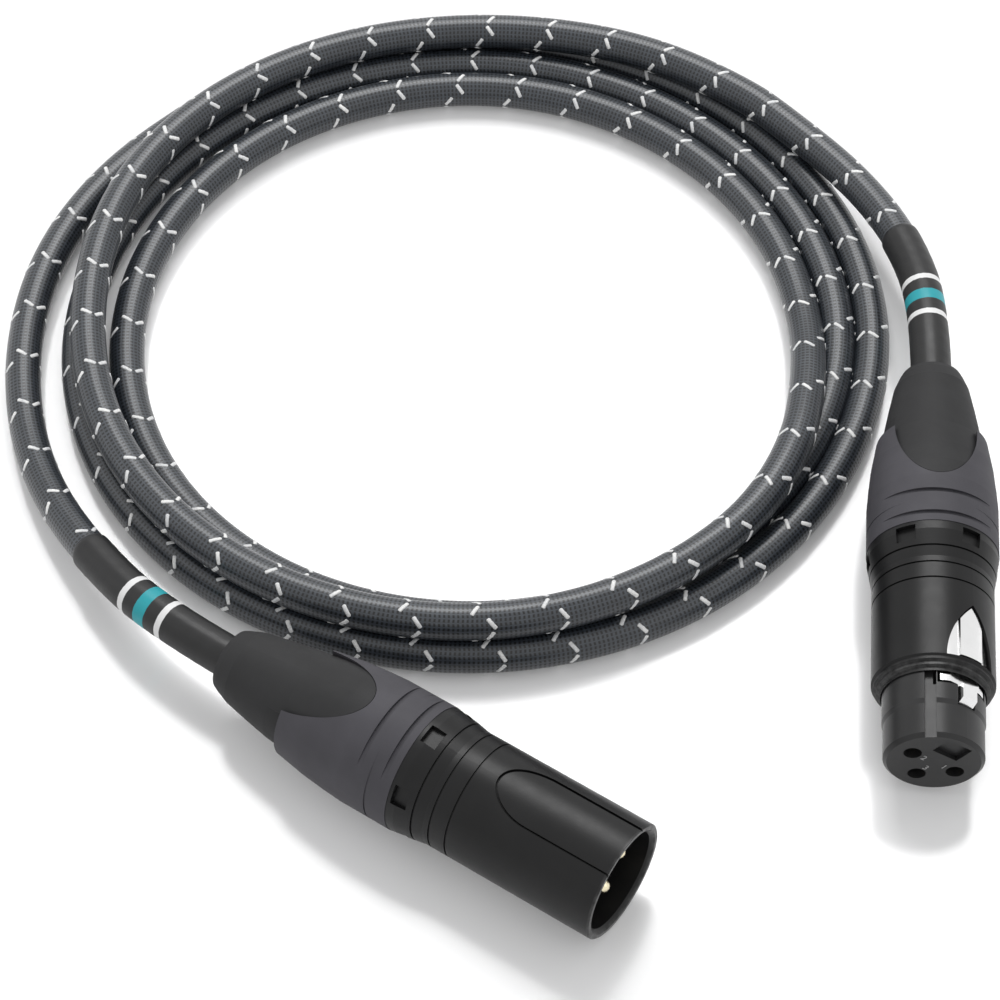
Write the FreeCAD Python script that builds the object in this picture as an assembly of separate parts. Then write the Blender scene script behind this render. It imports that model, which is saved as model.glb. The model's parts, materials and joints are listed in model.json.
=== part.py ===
import FreeCAD, Part
import os
from math import cos, sin, tan, radians, pi
from FreeCAD import Vector, Placement, Rotation

os.makedirs("parts", exist_ok=True)

# A microphone lead: a braided cable in a flat coil, with a male connector on one end and a latching
# female connector on the other. Millimetres. +X is the male connector's axis, out of its mouth, +Z is up,
# z = 0 is the floor, and the origin lies under the middle of the two connectors together.

# ---- cable and its coil
cableDiameter = 6.0
sleeveDiameter = 6.7
sleeveLength = 34.0
sleeveClearance = 0.05
coilCentre = (-63.1, 29.85)
coilOpening = 55.6           # radius of the coil's open middle
coilOuter = 72.0             # radius over the outermost turn
coilOuterShift = (-0.6, 3.1)  # the outer turn lies this far off the inner one
coilHeight = 12.2
coilEdgeRound = 2.6
coilClearance = 0.3          # round the female sleeve and boot, which lie against the coil

# Each lead leaves its boot along the boot's axis for firstRun, then follows these points into the coil.
firstRun = 17.6
maleLead = [
    (-85.1, -45.05, 7.6),
    (-100.7, -37.55, 4.7),
    (-113.1, -28.05, 3.2),
    (-123.5, -16.25, 3.05),
    (-131.5, -2.45, 3.05),
    (-135.9, 11.55, 3.05),
    (-137.1, 26.55, 3.05),
    (-135.1, 40.95, 3.05),
]
femaleLead = [
    (-10.0, 85.15, 9.6),
    (-24.9, 93.95, 8.6),
    (-42.1, 98.95, 8.6),
]
arcShare = 0.45              # share of the shorter run that each corner's arc may take

# ---- what both connectors share
shellRadius = 9.6
mouthRadius = 8.1
noseRadius = 7.95
noseTipRadius = 7.75         # the land that leads it into a mating shell
noseTipLength = 5.8
noseTaper = 0.8
collarRadius = 10.4
bootRadius = 10.5
contactCircle = 4.1
pinRadius = 1.2
pinRootRadius = 1.45         # inside its carrier
cupRadius = 1.35
cupBore = 0.95
cupLength = 4.6
cupFloor = 1.2
fit = 0.1                    # radial clearance between pieces that are assembled
axisHeight = bootRadius      # the widest ring of each boot rests on the floor
flareLength = 6.2            # from the straight barrel up to the collar
grooveCount = 3
grooveSpacing = 2.95
grooveWidth = 0.3
grooveDepth = 0.25
pocketCount = 6
pocketWidth = 3.3
pocketLength = 2.6
pocketDepth = 0.9
pocketTurnMale = 30.0        # from the latch side to midway between two pockets
rearBoreRadius = 8.45
rearBoreLength = 9.6         # how far the gland's spigot reaches into the shell

# boot: gland nut in front, bend relief behind
bootLength = 36.5
bandLength = 9.0             # straight part of the gland nut
bandGrooveAt = (1.6, 5.9)
bandGrooveWidth = 0.75
bandGrooveDepth = 0.5
bandGrooveReach = 54.0       # degrees either side of the arch to where the groove runs out
seamAt = 3.75
seamWidth = 0.3
seamDepth = 0.4
seamReach = 150.0            # degrees either side of the bottom
wingLength = 21.5            # how far back the gland nut's wings reach
wingStep = 0.85              # how proud the wings stand at their ends
wingThickness = 1.1
archHalfWidth = 6.6
archLength = 12.2
reliefEndRadius = 5.4
reliefEndRound = 1.2
spigotLength = 8.4
spigotWall = 1.1
sleeveEntry = 3.0            # how far the sleeve and the cable's free part start inside the boot
chuckLength = 12.0
chuckFront = 0.5             # ahead of the boot's front face
chuckRadius = 5.0
chuckPocket = 5.6            # the bend relief's hollow round the collet
jacketEnd = -0.5             # the cable's jacket ends here, from the boot's front face
chuckSlot = 0.9
coreRadius = 0.75
screenRadius = 0.45
coreSpread = 1.5             # from the cable's axis to each conductor

# ---- male connector
maleMouth = (19.18, -50.51)
maleBarrel = 35.6            # from the mouth's rim to the boot
mouthDepth = 14.4
pinRecess = 2.4
panelLength = 22.0
panelHalfWidth = 4.8
panelNose = 7.5
panelDepth = 0.2
panelEdge = 0.35             # width and extra depth of the groove round the panel
lipChamfer = 0.65
keyRibHeight = 0.6
keyRibWidth = 1.5
keyAngle = 43.0              # from the latch side to the key
latchPocketAt = (1.9, 5.4)
latchPocketWidth = 4.0
latchPocketDepth = 0.8
insertRearAt = 26.0

# ---- female connector
femaleFace = (46.51, -5.92)
femaleHeading = -60.4        # degrees from +X, the way its face points
femaleTilt = 1.6             # it leans on its collar, so its face is lower than its boot
femaleRoll = 33.5            # the latch lies this far over from straight up, to its axis's left
femaleBarrel = 38.0
rimAt = 13.6                 # the barrel's full diameter starts here behind the face
rimSteps = [(13.6, 9.6), (12.9, 9.25), (12.15, 8.75), (11.35, 8.2)]
holeRadius = 1.4
socketRadius = 1.6
socketBore = 1.22
socketSetback = 2.0          # from the face to the spring sockets
socketDepth = 15.5
socketSlit = 0.3
windowLength = 10.2
windowHalfWidth = 4.4
windowBulge = (0.53, 0.74)   # share of the length at which its edge is this share of the half width
latchPivot = (24.6, 5.9)     # behind the face, above the axis
latchPinRadius = 0.5
latchPinLength = 9.6
latchEarRadius = 1.15
latchFit = 0.05
armTop = 7.35
armThickness = 0.7
armHalfWidth = 2.8
thumbGap = 0.4
thumbFrontGap = 0.55         # room for the plate to swing forward as it is pressed
thumbRadius = 9.3
thumbFacet = (2.1, 8.8)      # the plate is this much lower outside this half width
barAt = (9.9, 11.0)
barHalfWidth = 4.3
toothAt = (6.4, 9.4)
toothHalfWidth = 1.35
toothTop = 8.65
channelFloor = 4.6
channelRear = 26.6
channelHalfWidth = 4.2
springRadius = 1.3
springWire = 0.3
springAt = 17.5
springSeat = 2.6
faceRecess = (2.5, 6.2, 2.3, 0.8)   # low and high edge, half width, depth


def revolved(points):
    """A solid of revolution about the X axis from (x, radius) corners."""
    corners = [Vector(x, 0, r) for x, r in points]
    face = Part.Face(Part.makePolygon(corners + [corners[0]]))
    return face.revolve(Vector(0, 0, 0), Vector(1, 0, 0), 360)


def rod(x0, x1, radius, y=0.0, z=0.0):
    return Part.makeCylinder(radius, abs(x1 - x0), Vector(min(x0, x1), y, z), Vector(1, 0, 0))


def ring(x0, x1, outer, inner, y=0.0, z=0.0):
    return rod(x0, x1, outer, y, z).cut(rod(x0 - 1, x1 + 1, inner, y, z))


def block(x0, x1, y0, y1, z0, z1):
    return Part.makeBox(x1 - x0, y1 - y0, z1 - z0, Vector(x0, y0, z0))


def turned(shape, angle):
    """A copy turned about the X axis."""
    copy = shape.copy()
    copy.rotate(Vector(0, 0, 0), Vector(1, 0, 0), angle)
    return copy


def polar(radius, angle):
    """(y, z) of a point at this angle from the latch side, +Z, towards -Y."""
    return (-radius * sin(radians(angle)), radius * cos(radians(angle)))


def routeEdges(points):
    """Straight runs joined by tangent arcs; also the arcs' radii."""
    corners = [Vector(*p) for p in points]
    edges = []
    radii = []
    start = corners[0]
    for before, corner, after in zip(corners, corners[1:], corners[2:]):
        back = before.sub(corner)
        ahead = after.sub(corner)
        reach = arcShare * min(back.Length, ahead.Length)
        turn = pi - back.getAngle(ahead)
        back.normalize()
        ahead.normalize()
        radius = reach / tan(turn / 2)
        first = corner.add(back * reach)
        last = corner.add(ahead * reach)
        inward = back.add(ahead)
        inward.normalize()
        middle = corner.add(inward * (radius / cos(turn / 2) - radius))
        edges.append(Part.LineSegment(start, first).toShape())
        edges.append(Part.Arc(first, middle, last).toShape())
        radii.append(radius)
        start = last
    edges.append(Part.LineSegment(start, corners[-1]).toShape())
    return edges, radii


def shortened(edges, length):
    """The first part of a route, this long."""
    kept = []
    for edge in edges:
        if length <= 1e-6:
            break
        if edge.Length > length:
            first = edge.FirstParameter
            last = edge.getParameterByLength(length)
            edge = edge.Curve.toShape(first, last)
        kept.append(edge)
        length -= edge.Length
    return kept


def pipe(edges, radius):
    """A round solid along a route."""
    path = Part.Wire(edges)
    start = edges[0].valueAt(edges[0].FirstParameter)
    along = edges[0].tangentAt(edges[0].FirstParameter)
    section = Part.Wire(Part.makeCircle(radius, start, along))
    return path.makePipeShell([section], True, False)


def barrelRadius(boot, x):
    """The shell's outer radius at x, with its flare up to the collar."""
    rise = (boot + flareLength - x) / (flareLength - 1.5)
    return shellRadius + (collarRadius - shellRadius) * min(max(rise, 0), 1)


def grooved(shell, boot, count):
    """Cuts thin rings into a shell, round the start of its flare."""
    for index in range(count):
        x = boot + flareLength + 4.2 - index * grooveSpacing
        floor = barrelRadius(boot, x) - grooveDepth
        shell = shell.cut(ring(x - grooveWidth, x, floor + 2, floor))
    return shell


def pockets(shell, boot):
    """Shallow grip pockets round the collar, just ahead of the boot."""
    for index in range(pocketCount):
        cutter = block(boot + 0.6, boot + 0.6 + pocketLength, -pocketWidth / 2, pocketWidth / 2,
                       collarRadius - pocketDepth, collarRadius + 2)
        shell = shell.cut(turned(cutter, 360 / pocketCount * (index + 0.5)))
    return shell


def gland(boot):
    """The gland nut: spigot, banded ring and wings, with an arch cut above and below."""
    profile = [
        (boot + spigotLength, rearBoreRadius - fit - spigotWall),
        (boot + spigotLength, rearBoreRadius - fit),
        (boot, rearBoreRadius - fit),
        (boot, bootRadius),
        (boot - bandLength, bootRadius),
        (boot - 12.5, 10.25),
        (boot - 16.5, 9.85),
        (boot - wingLength, 9.05),
        (boot - wingLength, 9.05 - wingStep - 0.05),
        (boot - 16.5, 9.85 - wingThickness),
        (boot - bandLength, bootRadius - wingThickness - 0.1),
        (boot - 6.0, rearBoreRadius - fit - spigotWall),
    ]
    body = revolved(profile)
    for at in bandGrooveAt:
        body = body.cut(fadingGroove(boot - at, bandGrooveWidth, bandGrooveDepth, bandGrooveReach))
    seam = turned(fadingGroove(boot - seamAt, seamWidth, seamDepth, seamReach), 180)
    return body.cut(seam).cut(archCutter(boot, 0.0))


def fadingGroove(x, width, depth, reach):
    """Cutter for a groove in the band: deepest on top, it runs out this many degrees to each side."""
    offset = (2 * bootRadius * depth - depth ** 2) / (2 * bootRadius * (1 - cos(radians(reach))) - 2 * depth)
    return ring(x - width / 2, x + width / 2, 2 * bootRadius, bootRadius - depth + offset, 0.0, -offset)


def archCutter(boot, inset):
    """An arched prism that opens backwards, through the top and the bottom of the wings."""
    centre = Vector(boot - wingLength, 0, -bootRadius - 1)
    arch = Part.Ellipse(centre, archLength - inset, archHalfWidth - inset).toShape()
    prism = Part.Face(Part.Wire(arch)).extrude(Vector(0, 0, 2 * bootRadius + 2))
    return prism


def relief(boot, bore):
    """The soft rear of the boot, with a tongue that fills each arch."""
    end = boot - bootLength
    outside = [
        (boot - chuckLength - 1.5, bore),
        (boot - chuckLength, chuckPocket),
        (boot - 7.5, chuckPocket),
        (boot - 7.5, 6.6),
        (boot - bandLength - 0.2, 8.2),
        (boot - 12.5, 10.25 - wingThickness - 2 * fit - 0.2),
        (boot - 16.5, 9.85 - wingThickness - fit - 0.1),
        (boot - wingLength, 9.05 - wingStep - 0.15),
        (boot - 24.5, 7.8),
        (boot - 28.6, 7.1),
        (boot - 33.0, 6.25),
        (end + reliefEndRound, reliefEndRadius),
        (end + 0.35, reliefEndRadius - 0.4),
        (end, reliefEndRadius - reliefEndRound),
        (end, bore),
    ]
    core = revolved(outside)
    tongue = revolved([
        (boot - 9.4, 7.6),
        (boot - 9.4, bootRadius - 0.05),
        (boot - 12.5, 10.15),
        (boot - 16.5, 9.4),
        (boot - wingLength, 8.3),
        (boot - 24.5, 7.8),
        (boot - 24.5, 7.0),
    ])
    return core.fuse(tongue.common(archCutter(boot, fit))).removeSplitter()


def chuck(boot):
    """A slotted collet round the cable, under the gland nut."""
    inner = cableDiameter / 2 + 0.02
    outer = rearBoreRadius - fit - spigotWall - fit
    front = boot + chuckFront
    body = revolved([
        (front, inner),
        (front, outer),
        (boot - 5.9, outer),
        (boot - 7.4, chuckPocket - fit),
        (front - chuckLength, chuckRadius),
        (front - chuckLength, inner),
    ])
    slot = block(front - chuckLength - 1, boot - 3.0, -chuckSlot / 2, chuckSlot / 2, -9, 9)
    return body.cut(slot).cut(turned(slot, 90))


def contactPin(y, z):
    """A round-nosed pin with a solder cup behind it."""
    tip = -pinRecess
    rear = -insertRearAt - cupLength
    shoulder = -insertRearAt - 0.3
    slope = radians(45)
    centre = tip - pinRadius
    arc = Part.Arc(Vector(tip, 0, 0), Vector(centre + pinRadius * cos(slope), 0, pinRadius * sin(slope)),
                   Vector(centre, 0, pinRadius))
    corners = [(centre, pinRadius), (-mouthDepth, pinRadius), (-mouthDepth, pinRootRadius),
               (rear, pinRootRadius), (rear, cupBore), (shoulder - cupFloor, cupBore),
               (shoulder - cupFloor, 0), (tip, 0)]
    points = [Vector(x, 0, r) for x, r in corners]
    edges = [arc.toShape()] + Part.makePolygon(points).Edges
    pin = Part.Face(Part.Wire(edges)).revolve(Vector(0, 0, 0), Vector(1, 0, 0), 360)
    pin.translate(Vector(0, y, z))
    return pin


def contactSocket(y, z):
    """A slit spring socket with a solder cup behind it."""
    rear = -insertRearAt - cupLength
    shoulder = -insertRearAt - 0.3
    socket = revolved([
        (-socketSetback, socketBore), (-socketSetback, socketRadius), (-insertRearAt + 1, socketRadius),
        (-insertRearAt + 1, cupRadius), (rear, cupRadius), (rear, cupBore), (shoulder - cupFloor, cupBore),
        (shoulder - cupFloor, 0), (-socketDepth, 0), (-socketDepth, socketBore),
    ])
    slit = block(-socketDepth + 3, -socketSetback + 1, -socketSlit / 2, socketSlit / 2, -3, 3)
    socket = socket.cut(slit).cut(turned(slit, 90))
    socket.translate(Vector(0, y, z))
    return socket


def wires(side, boot, angles):
    """The conductors, from the jacket's end to the solder cups at these angles."""
    start = boot + jacketEnd
    cupRear = -insertRearAt - cupLength
    cupBottom = -insertRearAt - 0.3 - cupFloor
    made = {}
    for name, angle, radius in zip(("screen", "hot", "cold"), angles, (screenRadius, coreRadius, coreRadius)):
        near = polar(coreSpread, angle)
        far = polar(contactCircle, angle)
        route = [
            (start, near[0], near[1]),
            (start + 1.5, near[0], near[1]),
            (cupRear - 1.5, far[0], far[1]),
            (cupBottom - 0.1, far[0], far[1]),
        ]
        edges, radii = routeEdges(route)
        made[side + "_wire_" + name] = pipe(edges, radius)
    return made


def panelOutline(inset):
    """The panel's outline as an upright prism: round behind, open at the mouth."""
    centre = -(panelLength - panelNose)
    half = panelHalfWidth - inset
    straight = block(centre, 1, -half, half, 0, 2 * shellRadius)
    nose = Part.Ellipse(Vector(centre, 0, 0), panelNose - inset, half).toShape()
    return straight.fuse(Part.Face(Part.Wire(nose)).extrude(Vector(0, 0, 2 * shellRadius)))


def maleConnector():
    """All the male connector's pieces, with the mouth's rim at x = 0 and the latch side up."""
    boot = -maleBarrel
    flare = boot + flareLength
    shell = revolved([
        (0, mouthRadius + lipChamfer),
        (0, shellRadius - 0.25),
        (-0.25, shellRadius),
        (flare, shellRadius),
        (boot + 1.5, collarRadius),
        (boot, collarRadius),
        (boot, rearBoreRadius),
        (boot + rearBoreLength, rearBoreRadius),
        (boot + rearBoreLength, mouthRadius),
        (-lipChamfer, mouthRadius),
    ])
    outline = panelOutline(0.0)
    skin = ring(-panelLength - 1, 1, shellRadius + 1, shellRadius - panelDepth)
    shell = shell.cut(outline.common(skin))
    skin = ring(-panelLength - 1, 1, shellRadius + 1, shellRadius - panelDepth - panelEdge)
    shell = shell.cut(outline.cut(panelOutline(panelEdge)).common(skin))
    shell = grooved(shell, boot, grooveCount)
    shell = turned(pockets(turned(shell, -pocketTurnMale), boot), pocketTurnMale)
    front, rear = latchPocketAt
    shell = shell.cut(block(-rear, -front, -latchPocketWidth / 2, latchPocketWidth / 2,
                            mouthRadius - 1, mouthRadius + latchPocketDepth))
    rib = block(-mouthDepth + fit, -1.2, -keyRibWidth / 2, keyRibWidth / 2,
                mouthRadius - keyRibHeight, mouthRadius + 0.3)
    shell = shell.fuse(turned(rib, -keyAngle)).removeSplitter()

    angles = (90, 270, 180)
    insert = rod(-insertRearAt, -mouthDepth, mouthRadius - fit)
    pieces = {}
    for index, angle in enumerate(angles):
        y, z = polar(contactCircle, angle)
        insert = insert.cut(rod(-insertRearAt - 1, -mouthDepth + 1, pinRootRadius + 0.02, y, z))
        pieces["male_pin_%d" % (index + 1)] = contactPin(y, z)
    clip = block(-mouthDepth - 9, -mouthDepth - 1, -1.5, 1.5, mouthRadius - fit - 0.6, mouthRadius - fit - 0.25)
    insert = insert.cut(block(-mouthDepth - 9.2, -mouthDepth - 0.8, -1.7, 1.7, mouthRadius - fit - 0.65, 9))
    pieces["male_shell"] = shell
    pieces["male_insert"] = insert
    pieces["male_ground_clip"] = clip
    pieces.update(backEnd("male", boot))
    pieces.update(wires("male", boot, angles))
    return pieces


def backEnd(side, boot):
    """Boot, collet and the cable's jacket, behind the barrel."""
    bore = sleeveDiameter / 2 + fit
    return {
        side + "_gland_nut": gland(boot),
        side + "_bend_relief": relief(boot, bore),
        side + "_chuck": chuck(boot),
        side + "_cable_end": rod(boot - bootLength + sleeveEntry, boot + jacketEnd, cableDiameter / 2),
    }


def ogive(length, halfWidth, start, low, high):
    """An upright prism: wide at x = -start, its sides curve back to meet in a point."""
    share, spread = windowBulge
    tip = Vector(-start - length, 0, low)
    edges = [Part.LineSegment(Vector(-start, -halfWidth, low), Vector(-start, halfWidth, low)).toShape()]
    for side in (halfWidth, -halfWidth):
        bulge = Vector(-start - share * length, spread * side, low)
        edges.append(Part.Arc(Vector(-start, side, low), bulge, tip).toShape())
    return Part.Face(Part.Wire(Part.__sortEdges__(edges))).extrude(Vector(0, 0, high - low))


def latch():
    """The lever: ears on the pin, arm, thumb plate in the window, cross bar and tooth."""
    pivotX, pivotZ = latchPivot
    armLow = armTop - armThickness
    ears = Part.makeCylinder(latchEarRadius, 2 * armHalfWidth, Vector(-pivotX, -armHalfWidth, pivotZ),
                             Vector(0, 1, 0))
    arm = block(-pivotX, -barAt[0], -armHalfWidth, armHalfWidth, armLow, armTop)
    thumb = ogive(windowLength - thumbGap - thumbFrontGap, windowHalfWidth - thumbGap, rimAt + thumbFrontGap,
                  armLow, 12)
    thumb = thumb.common(rod(-rimAt - windowLength, -rimAt, thumbRadius))
    facetAt, facetRadius = thumbFacet
    for low, high in ((-windowHalfWidth, -facetAt), (facetAt, windowHalfWidth)):
        side = block(-rimAt - windowLength, -rimAt, low, high, armTop, 12)
        thumb = thumb.cut(side.cut(rod(-rimAt - windowLength - 1, -rimAt + 1, facetRadius)))
    bar = block(-barAt[1], -barAt[0], -barHalfWidth, barHalfWidth, armLow, armTop)
    bar = bar.common(rod(-barAt[0] + 1, -barAt[1] - 1, noseRadius - 0.1))
    profile = [
        (-barAt[0] - 0.4, armLow),
        (-toothAt[0], armLow),
        (-toothAt[0], armTop + 0.1),
        (-toothAt[0] - 0.7, toothTop),
        (-toothAt[1], toothTop),
        (-toothAt[1], armTop),
        (-barAt[0] - 0.4, armTop),
    ]
    corners = [Vector(x, -toothHalfWidth, z) for x, z in profile]
    tooth = Part.Face(Part.makePolygon(corners + [corners[0]])).extrude(Vector(0, 2 * toothHalfWidth, 0))
    body = ears.fuse([arm, thumb, bar, tooth]).removeSplitter()
    hole = Part.makeCylinder(latchPinRadius + latchFit, 20, Vector(-pivotX, -10, pivotZ), Vector(0, 1, 0))
    return body.cut(hole)


def femaleConnector():
    """All the female connector's pieces, with the face at x = 0 and the latch side up."""
    boot = -femaleBarrel
    flare = boot + flareLength
    inner = rimSteps[-1][1] - 0.1
    outside = [(-rimSteps[-1][0], inner), (-rimSteps[-1][0], rimSteps[-1][1])]
    for (x0, r0), (x1, r1) in zip(rimSteps[::-1], rimSteps[-2::-1]):
        outside += [(-x1 + 0.25, r0), (-x1, r1)]
    shell = revolved(outside + [
        (flare, shellRadius),
        (boot + 1.5, collarRadius),
        (boot, collarRadius),
        (boot, rearBoreRadius),
        (boot + rearBoreLength, rearBoreRadius),
        (boot + rearBoreLength, inner),
    ])
    shell = grooved(shell, boot, grooveCount)
    shell = turned(pockets(turned(shell, -femaleRoll), boot), femaleRoll)
    shell = shell.cut(ogive(windowLength, windowHalfWidth, rimAt, 5, 12))

    angles = (270, 90, 180)
    insert = revolved([(0, 0), (0, noseTipRadius - 0.6), (-0.6, noseTipRadius), (-noseTipLength, noseTipRadius),
                       (-noseTipLength - noseTaper, noseRadius), (-insertRearAt, noseRadius), (-insertRearAt, 0)])
    keyway = block(-insertRearAt - 1, 1, -keyRibWidth / 2 - 0.15, keyRibWidth / 2 + 0.15,
                   noseRadius - keyRibHeight - 0.25, noseRadius + 1)
    insert = insert.cut(turned(keyway, keyAngle))
    channel = block(-channelRear, -rimSteps[-1][0] - 0.2, -channelHalfWidth, channelHalfWidth, channelFloor, 9)
    barSlot = block(-barAt[1] - 1.2, -barAt[0] + 0.45, -barHalfWidth - 0.3, barHalfWidth + 0.3, channelFloor, 9)
    toothSlot = block(-barAt[0], -toothAt[0] + 0.35, -toothHalfWidth - 0.3, toothHalfWidth + 0.3,
                      channelFloor, 9)
    insert = insert.cut(channel).cut(barSlot).cut(toothSlot)
    low, high, half, depth = faceRecess
    insert = insert.cut(block(-depth, 1, -half, half, low, high))
    pieces = {}
    for index, angle in enumerate(angles):
        y, z = polar(contactCircle, angle)
        insert = insert.cut(rod(-socketSetback, 1, holeRadius, y, z))
        insert = insert.cut(rod(-insertRearAt - 1, -socketSetback, socketRadius + 0.03, y, z))
        pieces["female_contact_%d" % (index + 1)] = contactSocket(y, z)
    pivotX, pivotZ = latchPivot
    pinHole = Part.makeCylinder(latchPinRadius + 0.02, 2 * latchPinLength,
                                Vector(-pivotX, -latchPinLength, pivotZ), Vector(0, 1, 0))
    seat = Part.makeCylinder(springRadius + 0.15, 9, Vector(-springAt, 0, springSeat))
    insert = insert.cut(pinHole).cut(seat)
    pieces["female_latch_pin"] = Part.makeCylinder(latchPinRadius, latchPinLength,
                                                   Vector(-pivotX, -latchPinLength / 2, pivotZ), Vector(0, 1, 0))
    springTop = armTop - armThickness
    spring = Part.makeCylinder(springRadius, springTop - springSeat, Vector(-springAt, 0, springSeat))
    hollow = Part.makeCylinder(springRadius - springWire, 20, Vector(-springAt, 0, springSeat - 1))
    pieces["female_latch_spring"] = spring.cut(hollow)
    clip = block(-23.0, -15.0, -1.5, 1.5, noseRadius - 0.6, noseRadius - 0.25)
    clipSlot = block(-23.2, -14.8, -1.7, 1.7, noseRadius - 0.65, 9)
    insert = insert.cut(turned(clipSlot, 180))
    pieces["female_ground_clip"] = turned(clip, 180)
    pieces["female_shell"] = shell
    pieces["female_insert"] = insert
    pieces["female_latch"] = latch()
    for name, shape in backEnd("female", boot).items():
        pieces[name] = turned(shape, femaleRoll)
    pieces.update(wires("female", boot, angles))
    return pieces


def placed(pieces, placement):
    moved = {}
    for name, shape in pieces.items():
        shape = shape.copy()
        shape.Placement = placement.multiply(shape.Placement)
        moved[name] = shape
    return moved


def malePlacement():
    return Placement(Vector(maleMouth[0], maleMouth[1], axisHeight), Rotation())


def femalePlacement():
    turn = Rotation(Vector(0, 0, 1), femaleHeading)
    lean = Rotation(Vector(0, 1, 0), femaleTilt)
    roll = Rotation(Vector(1, 0, 0), -femaleRoll)
    low = bootRadius * cos(radians(femaleTilt)) - femaleBarrel * sin(radians(femaleTilt))
    return Placement(Vector(femaleFace[0], femaleFace[1], low), turn.multiply(lean).multiply(roll))


def bootExit(placement, barrel):
    """Where the cable's free part starts, inside the boot's end, and the end of its first run."""
    start = -barrel - bootLength + sleeveEntry
    return [placement.multVec(Vector(x, 0, 0)) for x in (start, start - firstRun)]


def coil(boot, sleevePath):
    """One closed ring of the wound turns' outer shape, clear of the boot and the sleeve beside it."""
    x, y = coilCentre
    outer = Part.makeCylinder(coilOuter, coilHeight, Vector(x + coilOuterShift[0], y + coilOuterShift[1], 0))
    body = outer.cut(Part.makeCylinder(coilOpening, coilHeight + 2, Vector(x, y, -1)))
    edges = [edge for edge in body.Edges if edge.Curve.TypeId == "Part::GeomCircle"]
    body = body.makeFillet(coilEdgeRound, edges)
    rear = -femaleBarrel - bootLength
    room = rod(rear - coilClearance, rear + bandLength + wingLength, reliefEndRadius + 2 + coilClearance)
    room.Placement = boot
    return body.cut(room).cut(pipe(sleevePath, sleeveDiameter / 2 + coilClearance))


def cord(side, placement, barrel, points):
    """A lead's tube and the sleeve on its first part."""
    exits = [(point.x, point.y, point.z) for point in bootExit(placement, barrel)]
    edges, radii = routeEdges(exits + points)
    tube = pipe(edges, cableDiameter / 2)
    length = sum(edge.Length for edge in edges)
    section = pi * cableDiameter ** 2 / 4
    print(side, "lead starts", [[round(value, 2) for value in point] for point in exits])
    print(side, "lead: radii", [round(r) for r in radii], "length %.1f" % length,
          "volume ratio %.4f" % (tube.Volume / section / length))
    covered = shortened(edges, sleeveLength + sleeveEntry)
    sleeve = pipe(covered, sleeveDiameter / 2).cut(pipe(covered, cableDiameter / 2 + sleeveClearance))
    return {"cable_lead_" + side: tube, side + "_sleeve": sleeve}, covered


model = {}
model.update(placed(maleConnector(), malePlacement()))
model.update(placed(femaleConnector(), femalePlacement()))
for side, place, barrel, points in (("male", malePlacement(), maleBarrel, maleLead),
                                    ("female", femalePlacement(), femaleBarrel, femaleLead)):
    pieces, sleevePath = cord(side, place, barrel, points)
    model.update(pieces)
model["cable_coil"] = coil(femalePlacement(), sleevePath)

box = FreeCAD.BoundBox()
for name, shape in sorted(model.items()):
    if not name.startswith("cable_") and "sleeve" not in name:
        box.add(shape.BoundBox)
    if not shape.isValid() or shape.Volume <= 0 or len(shape.Solids) != 1:
        print("check", name, shape.isValid(), shape.Volume, len(shape.Solids))
    shape.exportStep("parts/" + name + ".step")
print(len(model), "nodes; connectors' box centre", round(box.Center.x, 3), round(box.Center.y, 3),
      "low", round(box.ZMin, 3), "size", round(box.XLength, 1), round(box.YLength, 1), round(box.ZLength, 1))
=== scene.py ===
import bpy
import bmesh
import json
from math import sin, cos, pi, radians
from mathutils import Vector, Matrix


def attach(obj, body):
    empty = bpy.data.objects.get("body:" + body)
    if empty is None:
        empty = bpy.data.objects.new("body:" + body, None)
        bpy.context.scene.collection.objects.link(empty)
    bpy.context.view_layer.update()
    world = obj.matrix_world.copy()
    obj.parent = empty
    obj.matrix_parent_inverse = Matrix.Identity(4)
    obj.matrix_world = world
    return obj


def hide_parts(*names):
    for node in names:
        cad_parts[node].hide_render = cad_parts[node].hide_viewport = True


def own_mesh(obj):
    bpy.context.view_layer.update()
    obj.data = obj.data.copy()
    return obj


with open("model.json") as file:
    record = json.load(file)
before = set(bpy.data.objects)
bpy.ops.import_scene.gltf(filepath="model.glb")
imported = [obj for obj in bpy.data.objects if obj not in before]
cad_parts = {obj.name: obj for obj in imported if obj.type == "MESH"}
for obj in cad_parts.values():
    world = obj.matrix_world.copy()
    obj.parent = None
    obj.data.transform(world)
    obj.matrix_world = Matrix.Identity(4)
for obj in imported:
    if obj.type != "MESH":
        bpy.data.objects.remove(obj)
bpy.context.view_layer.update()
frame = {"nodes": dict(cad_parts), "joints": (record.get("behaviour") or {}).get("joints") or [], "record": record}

mm = 0.001
record = frame["record"]
mounts = {mount["name"]: mount for mount in record["mounts"]}

# the two connectors' own places: where the axis starts and which way it points
maleMouth = Vector(mounts["male_mouth"]["pos_m"])
maleAxis = Vector(mounts["male_mouth"]["axis"])
latchJoint = frame["joints"][0]
femaleAxis = Vector(mounts["female_nose"]["axis"])
femaleSide = Vector(latchJoint["axis"])
femaleUp = femaleAxis.cross(femaleSide).normalized()
noseHalf = 3.2 * mm                        # from the middle of the nose's land to its face
femaleFace = Vector(mounts["female_nose"]["pos_m"]) + femaleAxis * noseHalf


def addObject(name, data):
    thing = bpy.data.objects.new(name, data)
    bpy.context.scene.collection.objects.link(thing)
    return thing


viewCamera = {
    "place": (0.1406, -0.26355, 0.4137),
    "target": (-0.0403, 0.00545, 0.0),
    "lens": 114.7,
    "sensor": 36.0,
    "clipStart": 0.01,
}


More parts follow.
